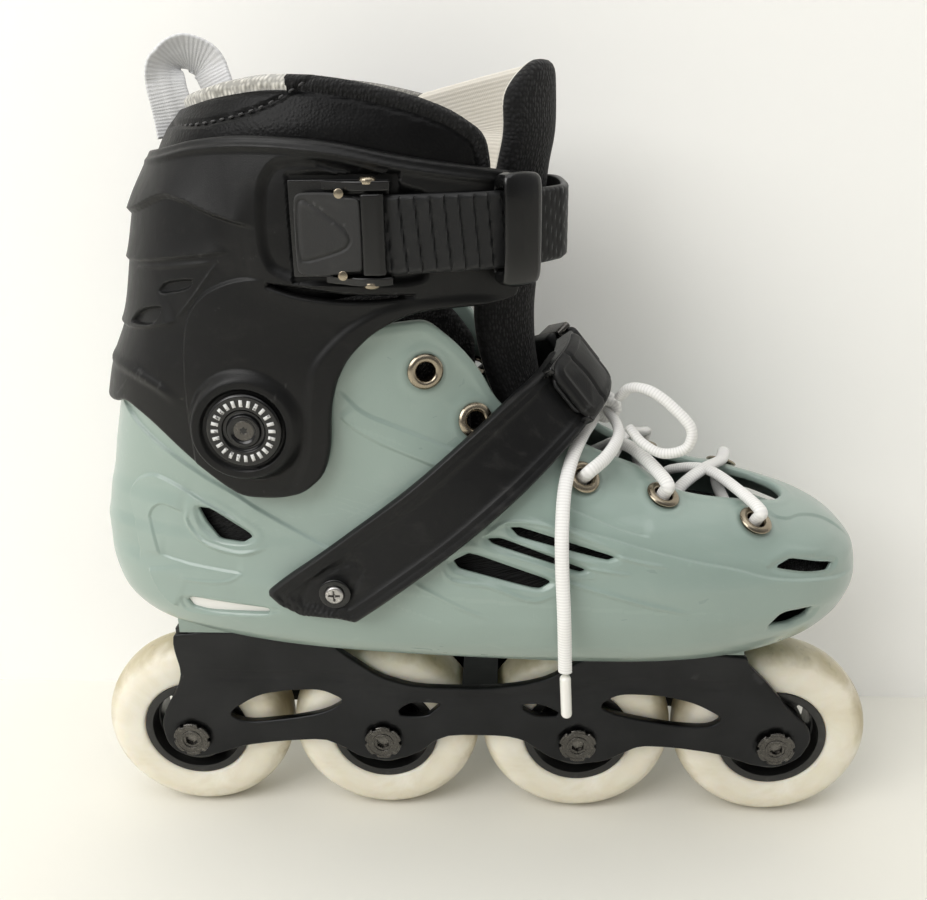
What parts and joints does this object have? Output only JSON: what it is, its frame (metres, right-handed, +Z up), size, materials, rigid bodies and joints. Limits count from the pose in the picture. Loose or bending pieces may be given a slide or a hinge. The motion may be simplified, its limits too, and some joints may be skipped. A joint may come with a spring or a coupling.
{
  "type": "inline skate",
  "caption": "Right inline skate with a vented moulded shell, hinged buckled cuff, padded liner, crossed laces, strap and a metal frame holding a row of wheels.",
  "frame": {"origin": "on the ground, midway between the end axles, in the centre plane", "axes": "+X towards the toe, +Y towards the inner side of the foot, +Z up"},
  "size_m": [0.323, 0.1174, 0.3129],
  "materials": {
    "tyre": "cream translucent polyurethane, yellowed at the rims",
    "hub": "dark moulded core",
    "steel": "bright steel",
    "darkSteel": "black oxide steel",
    "frame": "dark grey anodised aluminium, satin",
    "shell": "sage green moulded shell, satin gloss",
    "nickel": "warm nickel-plated brass",
    "fabric": "black knit and padding",
    "insole": "dark foam bed",
    "leather": "black smooth padded panel",
    "blackPlastic": "black moulded plastic, satin",
    "buckle": "dark grey moulded lever, matte",
    "lace": "white woven lace and webbing"
  },
  "bodies": {
    "boot_and_frame": {"wheel_1_axle": "darkSteel", "wheel_2_axle": "darkSteel", "wheel_3_axle": "darkSteel", "wheel_4_axle": "darkSteel", "frame": "frame", "rear_mount_bolt": "darkSteel", "front_mount_bolt": "darkSteel", "shell": "shell", "eyelet_right_1": "nickel", "eyelet_right_2": "nickel", "eyelet_right_3": "nickel", "eyelet_right_4": "nickel", "eyelet_right_5": "nickel", "eyelet_left_1": "nickel", "eyelet_left_2": "nickel", "eyelet_left_3": "nickel", "eyelet_left_4": "nickel", "eyelet_left_5": "nickel", "liner": "fabric", "insole": "insole", "tongue": "fabric", "pivot_bolt_right": "blackPlastic", "pivot_bolt_left": "blackPlastic", "instep_strap_right": "blackPlastic", "instep_strap_left": "blackPlastic", "instep_screw_right": "steel", "instep_screw_left": "steel", "instep_ladder": "blackPlastic", "instep_buckle_base": "darkSteel", "lacing": "lace", "lace_loop": "lace", "lace_tail_right": "lace", "lace_aglet_right": "lace", "lace_tail_left": "lace", "lace_aglet_left": "lace"},
    "wheel_1": {"wheel_1_tyre": "tyre", "wheel_1_hub": "hub", "wheel_1_bearing_right": "steel", "wheel_1_bearing_left": "steel"},
    "wheel_2": {"wheel_2_tyre": "tyre", "wheel_2_hub": "hub", "wheel_2_bearing_right": "steel", "wheel_2_bearing_left": "steel"},
    "wheel_3": {"wheel_3_tyre": "tyre", "wheel_3_hub": "hub", "wheel_3_bearing_right": "steel", "wheel_3_bearing_left": "steel"},
    "wheel_4": {"wheel_4_tyre": "tyre", "wheel_4_hub": "hub", "wheel_4_bearing_right": "steel", "wheel_4_bearing_left": "steel"},
    "cuff_body": {"cuff": "blackPlastic", "liner_collar": "leather", "pull_loop": "lace", "cuff_buckle_base": "darkSteel", "cuff_ladder_strap": "blackPlastic", "cuff_ladder_screw": "steel", "cuff_keeper": "blackPlastic"},
    "cuff_lever": {"cuff_buckle_lever": "buckle"},
    "instep_lever": {"instep_buckle_lever": "buckle"}
  },
  "joints": [
    {"name": "wheel_1_spin", "type": "hinge", "parent": "boot_and_frame", "child": "wheel_1", "pos_m": [-0.1215, 0, 0.04], "axis": [0, 1, 0], "continuous": true},
    {"name": "wheel_2_spin", "type": "hinge", "parent": "boot_and_frame", "child": "wheel_2", "pos_m": [-0.0405, 0, 0.04], "axis": [0, 1, 0], "continuous": true},
    {"name": "wheel_3_spin", "type": "hinge", "parent": "boot_and_frame", "child": "wheel_3", "pos_m": [0.0405, 0, 0.04], "axis": [0, 1, 0], "continuous": true},
    {"name": "wheel_4_spin", "type": "hinge", "parent": "boot_and_frame", "child": "wheel_4", "pos_m": [0.1215, 0, 0.04], "axis": [0, 1, 0], "continuous": true},
    {"name": "cuff_lean", "type": "hinge", "parent": "boot_and_frame", "child": "cuff_body", "pos_m": [-0.076, 0, 0.19], "axis": [0, 1, 0], "range_deg": [0, 8]},
    {"name": "cuff_lever_open", "type": "hinge", "parent": "cuff_body", "child": "cuff_lever", "pos_m": [-0.031, -0.0556, 0.2535], "axis": [0, 0, 1], "range_deg": [0, 80]},
    {"name": "instep_lever_open", "type": "hinge", "parent": "boot_and_frame", "child": "instep_lever", "pos_m": [0.04152, 0.01619, 0.20115], "axis": [0.6198, 0, -0.7848], "range_deg": [0, 80]}
  ]
}
